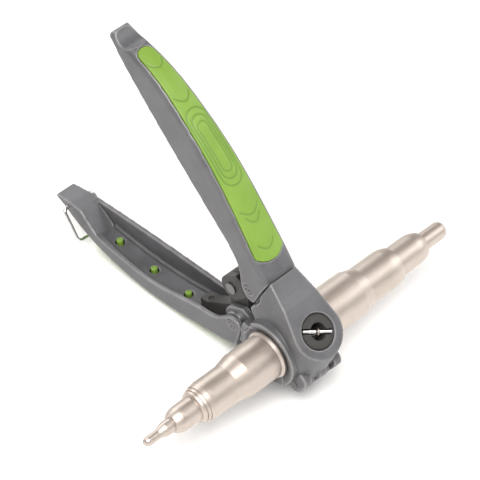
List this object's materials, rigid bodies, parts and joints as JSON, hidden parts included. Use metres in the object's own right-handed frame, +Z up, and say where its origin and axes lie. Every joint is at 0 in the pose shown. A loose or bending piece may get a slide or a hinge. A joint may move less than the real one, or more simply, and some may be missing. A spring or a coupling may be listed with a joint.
{
  "type": "hand tube expander",
  "caption": "Two-lever hand tube expander: a head with a double-ended stepped split mandrel, toggle linkage, gripped channel handles and a wire bail.",
  "frame": {"origin": "middle of the base of the bounding box, on the table the tool lies on", "axes": "+X along the mandrel towards its long far end, +Y along the lower handle from the head to its tip, +Z up from the table"},
  "size_m": [0.1916, 0.1882, 0.1561],
  "materials": {
    "casting": "satin powder coat over die-cast aluminium, fine orange peel",
    "grip": "moulded thermoplastic rubber, fine matte texture",
    "mandrel": "satin nickel plate over turned steel",
    "black_steel": "black oxide, oiled",
    "bright_steel": "drawn bright steel",
    "spring_steel": "oil-tempered spring wire",
    "pin_steel": "ground steel, ends painted over with the castings",
    "zinc_steel": "zinc plated"
  },
  "bodies": {
    "front_jaw": {"front_casting": "casting", "front_mandrel": "mandrel", "front_plug": "black_steel", "front_cross_pin": "bright_steel", "hinge_pin": "pin_steel", "return_spring": "spring_steel"},
    "rear_jaw": {"rear_casting": "casting", "rear_mandrel": "mandrel", "rear_plug": "black_steel", "rear_cross_pin": "bright_steel"},
    "upper_handle": {"upper_handle": "casting", "upper_grip": "grip", "upper_lever": "black_steel", "upper_lever_pin": "pin_steel", "upper_lever_screw": "zinc_steel", "upper_pin_washers": "zinc_steel", "pivot_pin": "pin_steel"},
    "lower_handle": {"lower_handle": "casting", "lower_grip": "grip", "lower_lever": "black_steel", "lower_lever_pin": "pin_steel", "lower_lever_screw": "zinc_steel", "lower_pin_washers": "zinc_steel"},
    "bail": {"wire_bail": "bright_steel"}
  },
  "joints": [
    {"name": "upper_handle_swing", "type": "hinge", "parent": "front_jaw", "child": "upper_handle", "pos_m": [0, -0.05214, 0.05358], "axis": [-1, 0, 0], "range_deg": [0, 34]},
    {"name": "jaw_opening", "type": "hinge", "parent": "front_jaw", "child": "rear_jaw", "pos_m": [0, -0.07997, 0.01271], "axis": [-1, 0, 0], "range_deg": [0, 6.59], "deforming": ["return_spring"]},
    {"name": "lower_handle_swing", "type": "hinge", "parent": "rear_jaw", "child": "lower_handle", "pos_m": [0, -0.03748, 0.02257], "axis": [1, 0, 0], "range_deg": [0, 36.66]},
    {"name": "bail_swing", "type": "hinge", "parent": "lower_handle", "child": "bail", "pos_m": [0, 0.08352, 0.02217], "axis": [1, 0, 0], "range_deg": [0, 197]}
  ],
  "couplings": [
    {"joint": "jaw_opening", "follows": "upper_handle_swing", "ratio": 0.19382},
    {"joint": "lower_handle_swing", "follows": "upper_handle_swing", "ratio": 1.0782}
  ]
}
